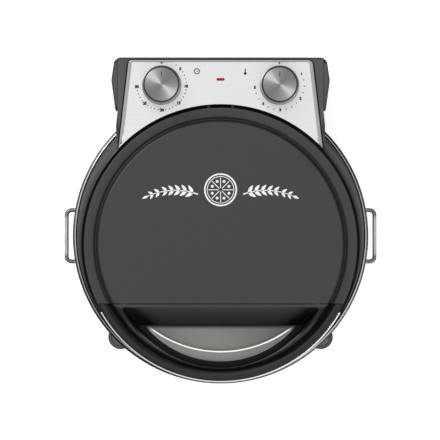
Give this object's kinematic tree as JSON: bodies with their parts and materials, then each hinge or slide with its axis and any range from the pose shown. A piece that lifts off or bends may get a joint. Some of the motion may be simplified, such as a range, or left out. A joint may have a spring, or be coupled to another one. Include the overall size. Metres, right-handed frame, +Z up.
{
  "type": "electric pizza maker",
  "caption": "Round electric pizza maker: a stone-floored bowl on feet under a hinged windowed lid with a timer dial and a thermostat dial.",
  "frame": {"origin": "on the table plane under the middle of the overall footprint", "axes": "+X to the user's right, +Y to the rear where the hinge and the dials are, +Z up; the front grip is at -Y"},
  "size_m": [0.3846, 0.3982, 0.1561],
  "materials": {
    "black_enamel": "glossy black enamel",
    "polished_rim": "polished bead",
    "aluminised_steel": "bright rolled sheet",
    "mineral_wool": "matted mineral wool felt",
    "element_steel": "heat-darkened tube",
    "white_ceramic": "matt steatite",
    "baking_stone": "fired cordierite, fine grain",
    "grey_plastic": "fine spark-eroded grain",
    "black_plastic": "fine spark-eroded grain",
    "black_rubber": "matt moulded rubber",
    "screw_steel": "zinc-plated",
    "chrome_wire": "polished plating",
    "cover_paint": "satin charcoal non-stick paint",
    "tinted_glass": "clear tempered glass with a slight green tint",
    "panel_steel": "fine horizontal brushing",
    "module_plastic": "moulded phenolic",
    "red_lens": "translucent red moulding",
    "lamp_glass": "small neon lamp",
    "bush_brass": "turned",
    "knob_chrome": "plated plastic moulding",
    "knob_face": "radially brushed cap",
    "shaft_steel": "ground"
  },
  "bodies": {
    "base": {"base_bowl": "black_enamel", "base_rim": "polished_rim", "inner_pan": "aluminised_steel", "lower_insulation": "mineral_wool", "lower_element": "element_steel", "lower_element_clips": "aluminised_steel", "element_insulators": "white_ceramic", "baking_stone": "baking_stone", "front_left_leg": "grey_plastic", "front_right_leg": "grey_plastic", "rear_bracket": "black_plastic", "bracket_floor": "black_plastic", "cord_gland": "black_rubber", "foot_pads": "black_rubber", "foot_screws": "screw_steel", "left_side_handle": "chrome_wire", "right_side_handle": "chrome_wire", "side_handle_collars": "chrome_wire", "left_hinge_arm": "grey_plastic", "right_hinge_arm": "grey_plastic", "left_hinge_pin": "shaft_steel", "right_hinge_pin": "shaft_steel", "hinge_arm_screws": "screw_steel"},
    "lid": {"lid_frame": "grey_plastic", "lid_cover": "cover_paint", "window_bezel": "black_plastic", "grip_handle": "black_plastic", "grip_trim": "chrome_wire", "window_gasket": "black_rubber", "window_glass": "tinted_glass", "window_retainer": "aluminised_steel", "upper_reflector": "aluminised_steel", "upper_insulation": "mineral_wool", "upper_element": "element_steel", "upper_element_clips": "aluminised_steel", "control_panel": "panel_steel", "control_box_floor": "black_plastic", "floor_screws": "screw_steel", "timer_module": "module_plastic", "thermostat_module": "module_plastic", "terminal_block": "white_ceramic", "indicator_lens": "red_lens", "indicator_lamp": "lamp_glass", "hinge_bushes": "bush_brass"},
    "timer_dial": {"timer_knob": "knob_chrome", "timer_knob_cap": "knob_face", "timer_shaft": "shaft_steel"},
    "thermostat_dial": {"thermostat_knob": "knob_chrome", "thermostat_knob_cap": "knob_face", "thermostat_shaft": "shaft_steel"}
  },
  "joints": [
    {"name": "lid_hinge", "type": "hinge", "parent": "base", "child": "lid", "pos_m": [0, 0.17185, 0.115], "axis": [-1, 0, 0], "range_deg": [0, 100]},
    {"name": "timer_turn", "type": "hinge", "parent": "lid", "child": "timer_dial", "pos_m": [-0.0718, 0.1653, 0.14], "axis": [0, 0, -1], "range_deg": [0, 266]},
    {"name": "thermostat_turn", "type": "hinge", "parent": "lid", "child": "thermostat_dial", "pos_m": [0.0718, 0.1653, 0.14], "axis": [0, 0, -1], "range_deg": [0, 265]}
  ]
}
